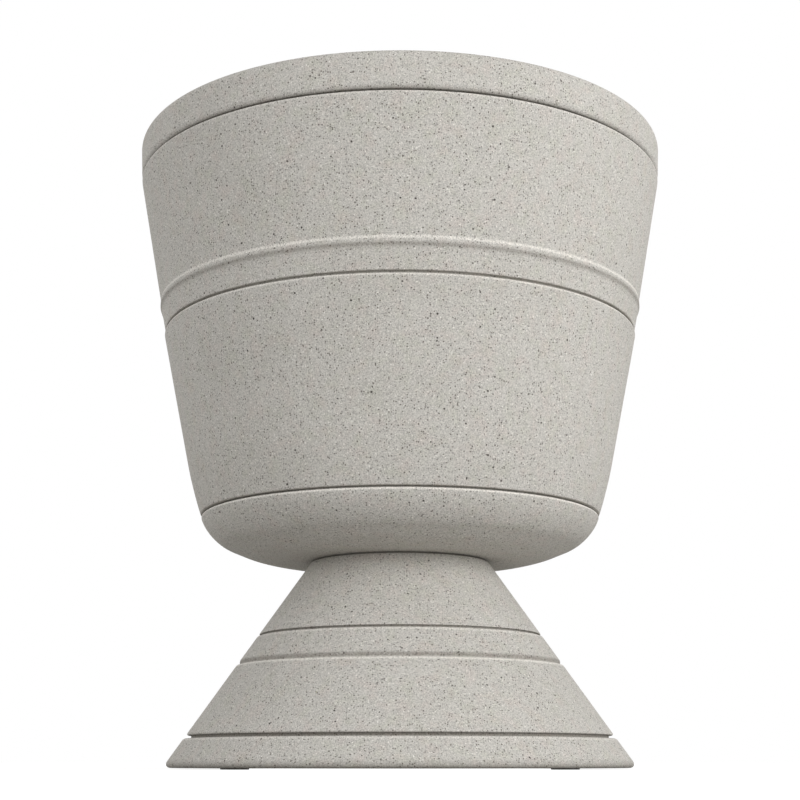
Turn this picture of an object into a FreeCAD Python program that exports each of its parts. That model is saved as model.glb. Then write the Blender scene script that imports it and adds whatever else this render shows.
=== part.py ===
"""Urn planter: a cast-stone bowl bolted to a hollow conical pedestal through its drain.

Millimetres, +Z up. The origin is on the floor, on the axis that every turned piece shares.
Each piece is drawn from its own lowest face and lifted into place by its Placement.
"""
import FreeCAD, Part
import math
import os
import Sketcher

SHEET = "sizes"

# Driving sizes: word, value in millimetres (degrees and counts are named so), meaning.
SIZES = (
    ("foot_gap", 1.0, "pads hold the pedestal this far off the floor"),
    ("foot_radius", 215.0, "pedestal at its lower edge"),
    ("neck_radius", 83.2, "pedestal at its upper edge"),
    ("pedestal_height", 186.5, "pedestal without its spigot"),
    ("pedestal_wall", 38.0, "pedestal wall, measured level"),
    ("plate_thickness", 34.0, "closed top of the pedestal"),
    ("hollow_round", 20.0, "rounding of the hollow under the plate"),
    ("foot_round", 4.0, "rounded outer lower edge"),
    ("foot_inner_round", 2.0, "rounded inner lower edge"),
    ("spigot_radius", 48.0, "raised centre that locates the bowl"),
    ("spigot_height", 8.0, "its height above the bed"),
    ("spigot_round", 2.0, "its rounded upper edge"),
    ("spigot_side_gap", 2.0, "play round the spigot"),
    ("spigot_top_gap", 2.0, "space kept above the spigot"),
    ("foot_line_height", 27.1, "lowest incised line"),
    ("foot_line_width", 2.6, "its opening"),
    ("foot_line_depth", 5.0, "its depth, measured level"),
    ("foot_line_upper_round", 1.6, "edge above it"),
    ("foot_line_lower_round", 3.6, "edge below it"),
    ("step_height", 91.5, "soft step, at its shoulder"),
    ("step_depth", 3.2, "its depth, measured level"),
    ("step_lean_degrees", 12.0, "how far the face above the shoulder leans out"),
    ("step_upper_round", 4.0, "soft edge above it"),
    ("step_lower_round", 2.8, "edge of the shoulder"),
    ("neck_line_height", 118.4, "highest incised line of the pedestal"),
    ("neck_line_width", 1.8, "its opening"),
    ("neck_line_depth", 3.4, "its depth, measured level"),
    ("neck_line_upper_round", 0.8, "edge above it"),
    ("neck_line_lower_round", 1.6, "edge below it"),
    ("joint_thickness", 1.5, "bedding between pedestal and bowl"),
    ("joint_setback", 3.0, "bedding stops this far inside the neck"),
    ("joint_inner_gap", 1.0, "bedding starts this far outside the spigot's recess"),
    ("bowl_height", 403.5, "underside to rim"),
    ("belly_flat_radius", 130.8, "where the flat underside would turn up sharply"),
    ("belly_slope_run", 49.0, "from there outwards to the belly's corner"),
    ("belly_slope_rise", 20.0, "and upwards"),
    ("lower_wall_flare", 15.5, "from the belly's corner outwards to the knee"),
    ("lower_wall_rise", 47.1, "and upwards"),
    ("main_wall_flare", 30.5, "from the knee outwards to the line below the band"),
    ("main_wall_rise", 148.9, "and upwards"),
    ("underside_blend", 100.0, "rounding from the flat to the underside's slope"),
    ("belly_round", 42.0, "rounding of the belly"),
    ("knee_blend", 360.0, "rounding of the lower wall into the main wall"),
    ("belly_line_rise", 21.7, "incised line round the belly, above the belly's corner"),
    ("belly_line_width", 1.2, "its opening"),
    ("belly_line_depth", 7.0, "its depth, measured level"),
    ("belly_line_upper_round", 1.2, "edge above it"),
    ("belly_line_lower_round", 3.4, "edge below it"),
    ("band_line_width", 1.9, "incised line below the band"),
    ("band_line_depth", 4.0, "its depth below the band, measured level"),
    ("band_line_upper_round", 1.2, "edge above it"),
    ("band_line_lower_round", 2.8, "edge below it"),
    ("band_setback", 1.2, "band's lower edge stands this far inside the wall below it"),
    ("band_face_flare", 3.4, "from the band's lower edge outwards to the hollow under its bead"),
    ("band_face_rise", 17.5, "and upwards"),
    ("band_face_round", 7.0, "rounding of that hollow"),
    ("bead_flare", 3.2, "from the hollow outwards to the bead"),
    ("bead_flare_rise", 6.0, "and upwards"),
    ("bead_height", 3.3, "bead along the top of the band"),
    ("bead_round", 2.5, "rounding of both its edges"),
    ("band_shoulder_drop", 1.4, "from the bead inwards to the wall above it"),
    ("band_shoulder_rise", 3.0, "and upwards"),
    ("band_shoulder_round", 2.0, "hollow above the bead"),
    ("upper_wall_flare", 22.0, "from there outwards to the line below the rim"),
    ("rim_line_drop", 36.5, "incised line below the rim, measured down from the top"),
    ("rim_line_width", 2.2, "its opening"),
    ("rim_line_depth", 7.0, "its depth, measured level"),
    ("rim_line_upper_round", 4.5, "curled edge above it"),
    ("rim_line_lower_round", 1.6, "edge below it"),
    ("rim_flare", 1.5, "from that line outwards to the top of the rim"),
    ("rim_width", 30.0, "flat top of the rim, before its edges are rounded"),
    ("rim_outer_round", 8.6, "outer edge of the rim"),
    ("rim_inner_round", 6.0, "inner edge of the rim"),
    ("liner_seat_depth", 30.0, "straight wall inside the rim, where a drop-in liner is held"),
    ("floor_setback", 21.8, "inside of the bowl at its floor, measured in from the belly's corner"),
    ("floor_thickness", 40.0, "underside to the floor inside"),
    ("floor_round", 45.0, "rounding between floor and inner wall"),
    ("shank_radius", 13.0, "threaded outside of the drain fitting"),
    ("drain_radius", 10.0, "bore of the drain fitting"),
    ("shank_hole_gap", 1.5, "play between shank and both castings"),
    ("flange_radius", 30.0, "drain fitting's flange"),
    ("flange_thickness", 4.0, "its thickness"),
    ("flange_round", 1.5, "its rounded upper edge"),
    ("drain_lip_round", 2.0, "rounded mouth of the drain"),
    ("recess_gap", 3.0, "play round the flange in the bowl's floor"),
    ("recess_round", 2.0, "eased edge of the recess in the floor"),
    ("gasket_thickness", 3.0, "both rubber gaskets"),
    ("gasket_overhang", 1.0, "gasket under the flange stops this far inside it"),
    ("washer_radius", 29.0, "steel washer under the pedestal's plate"),
    ("washer_thickness", 2.5, "its thickness"),
    ("washer_gap", 0.5, "play of gaskets and washer on the shank"),
    ("nut_across_flats", 41.0, "lock nut"),
    ("nut_height", 10.0, "lock nut"),
    ("nut_bevel_degrees", 30.0, "bevel on the corners of the nut"),
    ("nut_turn_degrees", 15.0, "direction of its first corner"),
    ("thread_gap", 0.1, "play of the nut on the shank"),
    ("thread_runout", 6.0, "shank that shows below the nut"),
    ("strainer_radius", 42.0, "outside of the strainer over the drain"),
    ("strainer_wall", 3.0, "its skirt and its top"),
    ("strainer_height", 13.0, "its height above the bowl's floor"),
    ("strainer_round", 3.5, "its rounded upper edge"),
    ("strainer_hole_radius", 2.6, "round holes in its top"),
    ("strainer_inner_ring", 14.0, "radius of the inner ring of holes"),
    ("strainer_outer_ring", 28.0, "radius of the outer ring of holes"),
    ("strainer_inner_count", 6.0, "count of holes in the inner ring"),
    ("strainer_outer_count", 12.0, "count of holes in the outer ring"),
    ("weep_width", 7.0, "slots in the foot of its skirt"),
    ("weep_height", 5.0, "height of those slots"),
    ("weep_count", 8.0, "count of slots"),
    ("plug_gap", 0.1, "play of the plug in the drain"),
    ("plug_length", 18.0, "part of the plug inside the drain"),
    ("plug_lead", 1.5, "bevel on the end that goes in"),
    ("plug_head_radius", 14.0, "head of the plug"),
    ("plug_head_thickness", 4.0, "its thickness"),
    ("plug_tab_width", 14.0, "tab that the plug is pulled by"),
    ("plug_tab_thickness", 4.0, "its thickness"),
    ("plug_tab_length", 16.0, "its length below the head"),
    ("plug_tab_round", 5.6, "rounded lower corners of the tab"),
    ("plug_tab_hole_radius", 3.5, "hole through the tab"),
    ("pad_count", 4.0, "count of pads under the pedestal"),
    ("pad_circle_radius", 194.0, "pads' centres from the axis"),
    ("pad_radius", 12.0, "one pad"),
    ("pad_thickness", 4.0, "one pad"),
    ("pad_side_gap", 0.5, "play round a pad in its pocket"),
    ("pad_round", 0.6, "rounded lower edge of a pad"),
    ("pad_first_degrees", 45.0, "direction of the first pad"),
)

FULL_TURN = 360.0
TOUCH = 1e-4
LEVEL = 0.01
LINE_START = 1
CENTRE = 3
LEVEL_AXIS_INDEX = -1
UPRIGHT_AXIS_INDEX = -2
NUT_SIDES = 6

document = FreeCAD.newDocument("urn_planter")
sheet = document.addObject("Spreadsheet::Sheet", SHEET)
for row, (word, number, meaning) in enumerate(SIZES, start=1):
    sheet.set("A%d" % row, word)
    sheet.set("B%d" % row, str(number))
    sheet.setAlias("B%d" % row, word)
    sheet.set("C%d" % row, meaning)
document.recompute()

WORDS = {word for word, number, meaning in SIZES}


def bound(formula):
    """Turn a formula in the sheet's words into an expression that reads the sheet."""
    pieces = []
    word = ""
    for letter in formula + " ":
        if letter.isalnum() or letter == "_":
            word += letter
            continue
        pieces.append(SHEET + "." + word if word in WORDS else word)
        pieces.append(letter)
        word = ""
    return "".join(pieces).strip()


def value(formula):
    """Number that a formula gives with the sheet's present values."""
    return float(sheet.evalExpression(bound(formula)))


def origin_plane(body, role):
    """Origin plane of a body, found by its role."""
    return next(plane for plane in body.Origin.OriginFeatures if plane.Role == role)


def new_body(label, lift):
    """Body with its label, lifted by a formula."""
    body = document.addObject("PartDesign::Body", label)
    body.Label = label
    body.setExpression("Placement.Base.z", bound(lift))
    return body


def new_sketch(body, name, role):
    """Empty sketch on one of the body's own origin planes."""
    sketch = body.newObject("Sketcher::SketchObject", name)
    sketch.AttachmentSupport = (origin_plane(body, role), [""])
    sketch.MapMode = "FlatFace"
    return sketch


def pin_point(sketch, line, corner, place, formulas):
    """Fix a corner of a sketch line at the place given by two formulas."""
    directions = (("DistanceX", UPRIGHT_AXIS_INDEX, place.x), ("DistanceY", LEVEL_AXIS_INDEX, place.y))
    for (kind, axis, number), formula in zip(directions, formulas):
        if abs(number) < TOUCH:
            sketch.addConstraint(Sketcher.Constraint("PointOnObject", line, corner, axis))
            continue
        index = sketch.addConstraint(
            Sketcher.Constraint(kind, LEVEL_AXIS_INDEX, LINE_START, line, corner, number))
        sketch.setExpression("Constraints[%d]" % index, bound(formula))


def outline(body, name, corners, role="XZ_Plane"):
    """Closed outline through corners, each a pair of formulas."""
    sketch = new_sketch(body, name, role)
    places = [FreeCAD.Vector(value(across), value(up), 0) for across, up in corners]
    count = len(places)
    for index, place in enumerate(places):
        sketch.addGeometry(Part.LineSegment(place, places[(index + 1) % count]))
    for index in range(count):
        sketch.addConstraint(Sketcher.Constraint("Coincident", index, 2, (index + 1) % count, 1))
    for index, place in enumerate(places):
        pin_point(sketch, index, LINE_START, place, corners[index])
    return sketch


def turn(body, name, corners):
    """Solid turned about Z from an outline of (radius, height) formulas."""
    feature = body.newObject("PartDesign::Revolution", name)
    feature.Profile = outline(body, name + "_outline", corners)
    feature.ReferenceAxis = (feature.Profile[0], ["V_Axis"])
    feature.Angle = FULL_TURN
    document.recompute()
    return feature


def level_rings(feature):
    """Names, radii and heights of a feature's closed level edges about the body's axis."""
    rings = []
    for index, edge in enumerate(feature.Shape.Edges, start=1):
        middle = edge.CenterOfMass
        start = edge.valueAt(edge.FirstParameter)
        level = abs(middle.z - start.z) < TOUCH and edge.BoundBox.ZLength < LEVEL
        if edge.isClosed() and level and math.hypot(middle.x, middle.y) < LEVEL:
            rings.append(("Edge%d" % index, math.hypot(start.x, start.y), start.z))
    return rings


def ring_at(feature, height, outermost=True):
    """Name of the outermost or innermost circle at a height."""
    level = [ring for ring in level_rings(feature) if abs(ring[2] - height) < LEVEL]
    pick = max if outermost else min
    return pick(level, key=lambda ring: ring[1])[0]


def round_ring(body, feature, name, height, size, outermost=True):
    """Round the circle at a height formula with a radius formula."""
    fillet = body.newObject("PartDesign::Fillet", name)
    fillet.Base = (feature, [ring_at(feature, value(height), outermost)])
    fillet.setExpression("Radius", bound(size))
    document.recompute()
    if fillet.Shape.isNull():
        raise ValueError("%s: no room for a rounding of %.2f" % (name, value(size)))
    return fillet


def turn_away(body, feature, name, corners):
    """Cut an outline of (radius, height) formulas, turned about Z, out of the solid."""
    before = feature.Shape.Volume
    cut = body.newObject("PartDesign::Groove", name)
    cut.Profile = outline(body, name + "_outline", corners)
    cut.ReferenceAxis = (cut.Profile[0], ["V_Axis"])
    cut.Angle = FULL_TURN
    document.recompute()
    if cut.Shape.Volume >= before:
        raise ValueError(name + " cuts nothing")
    return cut


def incise(body, feature, line, radius, height):
    """Cut an incised line into the wall, and round the edge above it and the edge below."""
    low = "%s - %s_width / 2" % (height, line)
    high = "%s + %s_width / 2" % (height, line)
    inner = "%s - %s_depth" % (radius, line)
    outer = "%s + %s_depth" % (radius, line)
    cut = turn_away(body, feature, line, ((inner, low), (outer, low), (outer, high), (inner, high)))
    upper = round_ring(body, cut, line + "_upper", high, line + "_upper_round")
    return round_ring(body, upper, line + "_lower", low, line + "_lower_round")


def pocket_ring(body, feature, name, sketch, depth, count):
    """Cut a sketch upwards from the XY plane and repeat it round the axis."""
    before = feature.Shape.Volume
    pocket = body.newObject("PartDesign::Pocket", name)
    pocket.Profile = sketch
    pocket.Reversed = True
    pocket.setExpression("Length", bound(depth))
    document.recompute()
    if pocket.Shape.Volume >= before:
        raise ValueError(name + " cuts nothing")
    pattern = body.newObject("PartDesign::PolarPattern", name + "_ring")
    pattern.Originals = [pocket]
    pattern.Axis = (sketch, ["N_Axis"])
    pattern.Angle = FULL_TURN
    pattern.setExpression("Occurrences", bound(count))
    body.Tip = pattern
    document.recompute()
    return pattern


def circle_sketch(body, name, distance, radius, direction="0"):
    """Circle on the XY plane at a distance from the axis, in a direction in degrees."""
    sketch = new_sketch(body, name, "XY_Plane")
    across = "(%s) * cos(%s)" % (distance, direction)
    along = "(%s) * sin(%s)" % (distance, direction)
    centre = FreeCAD.Vector(value(across), value(along), 0)
    sketch.addGeometry(Part.Circle(centre, FreeCAD.Vector(0, 0, 1), value(radius)))
    size = sketch.addConstraint(Sketcher.Constraint("Radius", 0, value(radius)))
    sketch.setExpression("Constraints[%d]" % size, bound(radius))
    pin_point(sketch, 0, CENTRE, centre, (across, along))
    return sketch


# Heights above the floor, and sizes that more than one piece shares.
BED = "foot_gap + pedestal_height"
BOWL_BASE = BED + " + joint_thickness"
FLOOR = BOWL_BASE + " + floor_thickness"
PLATE_UNDERSIDE = "foot_gap + pedestal_height - plate_thickness"
SHANK_HOLE = "shank_radius + shank_hole_gap"
WASHER_HOLE = "shank_radius + washer_gap"
SPIGOT_RECESS = "spigot_radius + spigot_side_gap"
RECESS_DEPTH = "flange_thickness + gasket_thickness"
CLAMP_STACK = "gasket_thickness + washer_thickness + nut_height + thread_runout"
SHANK_END = PLATE_UNDERSIDE + " - (" + CLAMP_STACK + ")"
CONE_SLOPE = "(foot_radius - neck_radius) / pedestal_height"

# Corners of the bowl's outside, from its underside up: radius from the axis, height above the underside.
BELLY_RADIUS = "belly_flat_radius + belly_slope_run"
BELLY_LINE_RADIUS = BELLY_RADIUS + " + belly_line_rise * lower_wall_flare / lower_wall_rise"
BELLY_LINE_HEIGHT = "belly_slope_rise + belly_line_rise"
KNEE_RADIUS = BELLY_RADIUS + " + lower_wall_flare"
KNEE_HEIGHT = "belly_slope_rise + lower_wall_rise"
BAND_LINE_RADIUS = KNEE_RADIUS + " + main_wall_flare"
BAND_LINE_HEIGHT = KNEE_HEIGHT + " + main_wall_rise"
BAND_FOOT_RADIUS = BAND_LINE_RADIUS + " - band_setback"
BAND_FACE_RADIUS = BAND_FOOT_RADIUS + " + band_face_flare"
BAND_FACE_HEIGHT = BAND_LINE_HEIGHT + " + band_face_rise"
BEAD_RADIUS = BAND_FACE_RADIUS + " + bead_flare"
BEAD_LOW_HEIGHT = BAND_FACE_HEIGHT + " + bead_flare_rise"
BEAD_HIGH_HEIGHT = BEAD_LOW_HEIGHT + " + bead_height"
BAND_SHOULDER_RADIUS = BEAD_RADIUS + " - band_shoulder_drop"
BAND_SHOULDER_HEIGHT = BEAD_HIGH_HEIGHT + " + band_shoulder_rise"
RIM_LINE_RADIUS = BAND_SHOULDER_RADIUS + " + upper_wall_flare"
RIM_LINE_HEIGHT = "bowl_height - rim_line_drop"
RIM_RADIUS = RIM_LINE_RADIUS + " + rim_flare"


def cone_at(height):
    """Formula for the pedestal's outer radius at a height formula."""
    return "foot_radius - (%s) * %s" % (height, CONE_SLOPE)


def cut_step(body, feature):
    """Notch with a level shoulder and a face that leans out above it until it meets the cone."""
    apex = cone_at("step_height") + " - step_depth"
    rise = "step_depth / (tan(step_lean_degrees) + %s)" % CONE_SLOPE
    reach = "2 * step_depth"
    far = "%s + %s" % (apex, reach)
    above = "step_height + %s / tan(step_lean_degrees)" % reach
    cut = turn_away(body, feature, "step", ((apex, "step_height"), (far, "step_height"), (far, above)))
    upper = round_ring(body, cut, "step_upper", "step_height + " + rise, "step_upper_round")
    return round_ring(body, upper, "step_lower", "step_height", "step_lower_round")


def make_pedestal():
    """Hollow cone with three incised lines, a locating spigot and pockets for the pads."""
    body = new_body("pedestal", "foot_gap")
    ceiling = "pedestal_height - plate_thickness"
    spigot_top = "pedestal_height + spigot_height"
    feature = turn(body, "pedestal_casting", (
        (SHANK_HOLE, ceiling),
        (cone_at(ceiling) + " - pedestal_wall", ceiling),
        ("foot_radius - pedestal_wall", "0"),
        ("foot_radius", "0"),
        ("neck_radius", "pedestal_height"),
        ("spigot_radius", "pedestal_height"),
        ("spigot_radius", spigot_top),
        (SHANK_HOLE, spigot_top),
    ))
    feature = round_ring(body, feature, "hollow_edge", ceiling, "hollow_round")
    feature = round_ring(body, feature, "foot_inner_edge", "0", "foot_inner_round", outermost=False)
    feature = round_ring(body, feature, "foot_edge", "0", "foot_round")
    feature = round_ring(body, feature, "spigot_edge", spigot_top, "spigot_round")
    for line in ("foot_line", "neck_line"):
        feature = incise(body, feature, line, cone_at(line + "_height"), line + "_height")
    feature = cut_step(body, feature)
    sketch = circle_sketch(body, "pad_pocket_outline", "pad_circle_radius", "pad_radius + pad_side_gap",
                           "pad_first_degrees")
    pocket_ring(body, feature, "pad_pocket", sketch, "pad_thickness - foot_gap", "pad_count")
    return body


def make_bowl():
    """Tapered bowl with a rounded belly, a raised band, a rim and a drain through its floor."""
    body = new_body("bowl", BOWL_BASE)
    underside = "spigot_height - joint_thickness + spigot_top_gap"
    recess_floor = "floor_thickness - (%s)" % RECESS_DEPTH
    recess_wall = "flange_radius + recess_gap"
    feature = turn(body, "bowl_casting", (
        (SHANK_HOLE, underside),
        (SPIGOT_RECESS, underside),
        (SPIGOT_RECESS, "0"),
        ("belly_flat_radius", "0"),
        (BELLY_RADIUS, "belly_slope_rise"),
        (KNEE_RADIUS, KNEE_HEIGHT),
        (BAND_LINE_RADIUS, BAND_LINE_HEIGHT),
        (BAND_FOOT_RADIUS, BAND_LINE_HEIGHT),
        (BAND_FACE_RADIUS, BAND_FACE_HEIGHT),
        (BEAD_RADIUS, BEAD_LOW_HEIGHT),
        (BEAD_RADIUS, BEAD_HIGH_HEIGHT),
        (BAND_SHOULDER_RADIUS, BAND_SHOULDER_HEIGHT),
        (RIM_LINE_RADIUS, RIM_LINE_HEIGHT),
        (RIM_RADIUS, "bowl_height"),
        (RIM_RADIUS + " - rim_width", "bowl_height"),
        (RIM_RADIUS + " - rim_width", "bowl_height - liner_seat_depth"),
        (BELLY_RADIUS + " - floor_setback", "floor_thickness"),
        (recess_wall, "floor_thickness"),
        (recess_wall, recess_floor),
        (SHANK_HOLE, recess_floor),
    ))
    feature = round_ring(body, feature, "underside_edge", "0", "underside_blend")
    feature = round_ring(body, feature, "belly_edge", "belly_slope_rise", "belly_round")
    feature = round_ring(body, feature, "knee_edge", KNEE_HEIGHT, "knee_blend")
    feature = round_ring(body, feature, "floor_edge", "floor_thickness", "floor_round")
    feature = round_ring(body, feature, "recess_edge", "floor_thickness", "recess_round", outermost=False)
    feature = round_ring(body, feature, "rim_inner_edge", "bowl_height", "rim_inner_round", outermost=False)
    feature = round_ring(body, feature, "rim_outer_edge", "bowl_height", "rim_outer_round")
    feature = round_ring(body, feature, "band_face", BAND_FACE_HEIGHT, "band_face_round")
    feature = round_ring(body, feature, "band_shoulder", BAND_SHOULDER_HEIGHT, "band_shoulder_round")
    feature = round_ring(body, feature, "bead_low", BEAD_LOW_HEIGHT, "bead_round")
    feature = round_ring(body, feature, "bead_high", BEAD_HIGH_HEIGHT, "bead_round")
    feature = incise(body, feature, "belly_line", BELLY_LINE_RADIUS, BELLY_LINE_HEIGHT)
    feature = incise(body, feature, "band_line", BAND_LINE_RADIUS, BAND_LINE_HEIGHT)
    incise(body, feature, "rim_line", RIM_LINE_RADIUS, RIM_LINE_HEIGHT)
    return body


def make_ring(label, lift, inner, outer, thickness):
    """Flat ring, such as a gasket or a washer."""
    body = new_body(label, lift)
    turn(body, label + "_ring", ((inner, "0"), (outer, "0"), (outer, thickness), (inner, thickness)))
    return body


def make_drain_fitting():
    """Hollow threaded fitting with its flange in the bowl's floor and its shank through both castings."""
    body = new_body("drain_fitting", SHANK_END)
    shoulder = "(%s) - flange_thickness - (%s)" % (FLOOR, SHANK_END)
    top = "(%s) - (%s)" % (FLOOR, SHANK_END)
    feature = turn(body, "drain_body", (
        ("drain_radius", "0"),
        ("shank_radius", "0"),
        ("shank_radius", shoulder),
        ("flange_radius", shoulder),
        ("flange_radius", top),
        ("drain_radius", top),
    ))
    feature = round_ring(body, feature, "flange_edge", top, "flange_round")
    round_ring(body, feature, "drain_mouth", top, "drain_lip_round", outermost=False)
    return body


def make_lock_nut():
    """Hexagonal nut with bevelled corners on its lower side."""
    body = new_body("lock_nut", "%s - gasket_thickness - washer_thickness - nut_height" % PLATE_UNDERSIDE)
    corner = "nut_across_flats / sqrt(3)"
    corners = []
    for side in range(NUT_SIDES):
        angle = "nut_turn_degrees + %d" % (side * FULL_TURN / NUT_SIDES)
        corners.append(("%s * cos(%s)" % (corner, angle), "%s * sin(%s)" % (corner, angle)))
    blank = body.newObject("PartDesign::Pad", "nut_blank")
    blank.Profile = outline(body, "nut_outline", corners, "XY_Plane")
    blank.setExpression("Length", bound("nut_height"))
    document.recompute()
    far = "nut_across_flats"
    climb = "(nut_across_flats / 2) * tan(nut_bevel_degrees)"
    bevel = turn_away(body, blank, "nut_bevel", (("nut_across_flats / 2", "0"), (far, "0"), (far, climb)))
    sketch = circle_sketch(body, "nut_bore_outline", "0", "shank_radius + thread_gap")
    before = bevel.Shape.Volume
    bore = body.newObject("PartDesign::Pocket", "nut_bore")
    bore.Profile = sketch
    bore.Reversed = True
    bore.setExpression("Length", bound("nut_height"))
    document.recompute()
    if bore.Shape.Volume >= before:
        raise ValueError("nut_bore cuts nothing")
    return body


def make_drain_strainer():
    """Upturned cup with holes in its top and weep slots in its skirt, loose over the drain."""
    body = new_body("drain_strainer", FLOOR)
    inside = "strainer_radius - strainer_wall"
    ceiling = "strainer_height - strainer_wall"
    feature = turn(body, "strainer_cup", (
        (inside, "0"),
        ("strainer_radius", "0"),
        ("strainer_radius", "strainer_height"),
        ("0", "strainer_height"),
        ("0", ceiling),
        (inside, ceiling),
    ))
    feature = round_ring(body, feature, "strainer_edge", "strainer_height", "strainer_round")
    for ring in ("inner", "outer"):
        sketch = circle_sketch(body, ring + "_hole_outline", "strainer_%s_ring" % ring,
                               "strainer_hole_radius")
        feature = pocket_ring(body, feature, ring + "_hole", sketch, "strainer_height",
                              "strainer_%s_count" % ring)
    near = "strainer_radius - 2 * strainer_wall"
    far = "strainer_radius + strainer_wall"
    sketch = outline(body, "weep_outline", (
        (near, "-weep_width / 2"),
        (far, "-weep_width / 2"),
        (far, "weep_width / 2"),
        (near, "weep_width / 2"),
    ), "XY_Plane")
    pocket_ring(body, feature, "weep", sketch, "weep_height", "weep_count")
    return body


def make_drain_plug():
    """Rubber plug pushed into the drain from below, with a tab to pull it by."""
    body = new_body("drain_plug", "%s - plug_head_thickness - plug_tab_length" % SHANK_END)
    radius = "drain_radius - plug_gap"
    head_low = "plug_tab_length"
    head_high = "plug_tab_length + plug_head_thickness"
    tip = head_high + " + plug_length"
    turn(body, "plug_turned", (
        ("0", head_low),
        ("plug_head_radius", head_low),
        ("plug_head_radius", head_high),
        (radius, head_high),
        (radius, tip + " - plug_lead"),
        (radius + " - plug_lead / 2", tip),
        ("0", tip),
    ))
    tab = body.newObject("PartDesign::Pad", "plug_tab")
    side = "plug_tab_width / 2"
    buried = "plug_tab_length + plug_head_thickness / 2"
    tab.Profile = outline(body, "plug_tab_outline", (
        ("-" + side, "0"),
        (side, "0"),
        (side, buried),
        ("-" + side, buried),
    ))
    tab.Midplane = True
    tab.setExpression("Length", bound("plug_tab_thickness"))
    document.recompute()
    low_edges = []
    for index, edge in enumerate(tab.Shape.Edges, start=1):
        level = edge.BoundBox.ZMax < TOUCH
        if level and edge.BoundBox.XLength < TOUCH:
            low_edges.append("Edge%d" % index)
    rounded = body.newObject("PartDesign::Fillet", "plug_tab_end")
    rounded.Base = (tab, low_edges)
    rounded.setExpression("Radius", bound("plug_tab_round"))
    document.recompute()
    before = rounded.Shape.Volume
    sketch = new_sketch(body, "plug_tab_hole_outline", "XZ_Plane")
    centre = FreeCAD.Vector(0, value("plug_tab_width / 2"), 0)
    sketch.addGeometry(Part.Circle(centre, FreeCAD.Vector(0, 0, 1), value("plug_tab_hole_radius")))
    size = sketch.addConstraint(Sketcher.Constraint("Radius", 0, value("plug_tab_hole_radius")))
    sketch.setExpression("Constraints[%d]" % size, bound("plug_tab_hole_radius"))
    pin_point(sketch, 0, CENTRE, centre, ("0", "plug_tab_width / 2"))
    hole = body.newObject("PartDesign::Pocket", "plug_tab_hole")
    hole.Profile = sketch
    hole.Midplane = True
    hole.setExpression("Length", bound("2 * plug_tab_thickness"))
    document.recompute()
    if hole.Shape.Volume >= before:
        raise ValueError("plug_tab_hole cuts nothing")
    return body


def make_foot_pad(number):
    """One rubber pad in its pocket under the pedestal."""
    body = new_body("foot_pad_%d" % number, "0")
    direction = "(pad_first_degrees + %d * %d / pad_count)" % (number - 1, FULL_TURN)
    body.setExpression("Placement.Base.x", bound("pad_circle_radius * cos(%s)" % direction))
    body.setExpression("Placement.Base.y", bound("pad_circle_radius * sin(%s)" % direction))
    feature = turn(body, "pad_disc_%d" % number, (
        ("0", "0"),
        ("pad_radius", "0"),
        ("pad_radius", "pad_thickness"),
        ("0", "pad_thickness"),
    ))
    round_ring(body, feature, "pad_edge_%d" % number, "0", "pad_round")
    return body


def make_pieces():
    """Every piece of the planter, from the floor up."""
    pieces = [make_foot_pad(number) for number in range(1, int(value("pad_count")) + 1)]
    pieces.append(make_pedestal())
    pieces.append(make_ring("bed_joint", BED, SPIGOT_RECESS + " + joint_inner_gap",
                            "neck_radius - joint_setback", "joint_thickness"))
    pieces.append(make_bowl())
    pieces.append(make_drain_fitting())
    pieces.append(make_ring("flange_gasket", "%s - (%s)" % (FLOOR, RECESS_DEPTH), WASHER_HOLE,
                            "flange_radius - gasket_overhang", "gasket_thickness"))
    pieces.append(make_ring("clamp_gasket", PLATE_UNDERSIDE + " - gasket_thickness", WASHER_HOLE,
                            "washer_radius", "gasket_thickness"))
    pieces.append(make_ring("clamp_washer", PLATE_UNDERSIDE + " - gasket_thickness - washer_thickness",
                            WASHER_HOLE, "washer_radius", "washer_thickness"))
    pieces.append(make_lock_nut())
    pieces.append(make_drain_strainer())
    pieces.append(make_drain_plug())
    return pieces


def check_document():
    """Stop if any object failed to rebuild."""
    document.recompute()
    for thing in document.Objects:
        if "Invalid" in thing.State or "Error" in thing.State:
            raise ValueError("%s did not rebuild: %s" % (thing.Name, thing.State))


def write_pieces(pieces):
    """Write one STEP file for each piece, once all of them are sound."""
    for piece in pieces:
        if piece.Shape.isNull() or not piece.Shape.isValid() or len(piece.Shape.Solids) != 1:
            raise ValueError(piece.Label + " is not one sound solid")
    os.makedirs("parts", exist_ok=True)
    for piece in pieces:
        piece.Shape.exportStep("parts/%s.step" % piece.Label)
        box = piece.Shape.BoundBox
        print("%-16s %10.1f mm3  z %7.2f to %7.2f" % (piece.Label, piece.Shape.Volume, box.ZMin, box.ZMax))


PIECES = make_pieces()
check_document()
write_pieces(PIECES)
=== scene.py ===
"""Urn planter: a cast-stone bowl on a hollow conical pedestal, dressed over its fixed frame.

Each sub-assembly is a class that holds its sizes in millimetres and builds its meshes in metres.
The turned castings are drawn as outlines, rounded corner by corner and spun about the planter's axis.
"""
from __future__ import annotations

import logging
import math
from abc import ABC, abstractmethod
from dataclasses import dataclass, replace
from enum import Enum

import bmesh
import bpy
from mathutils import Matrix, Vector, noise

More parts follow.
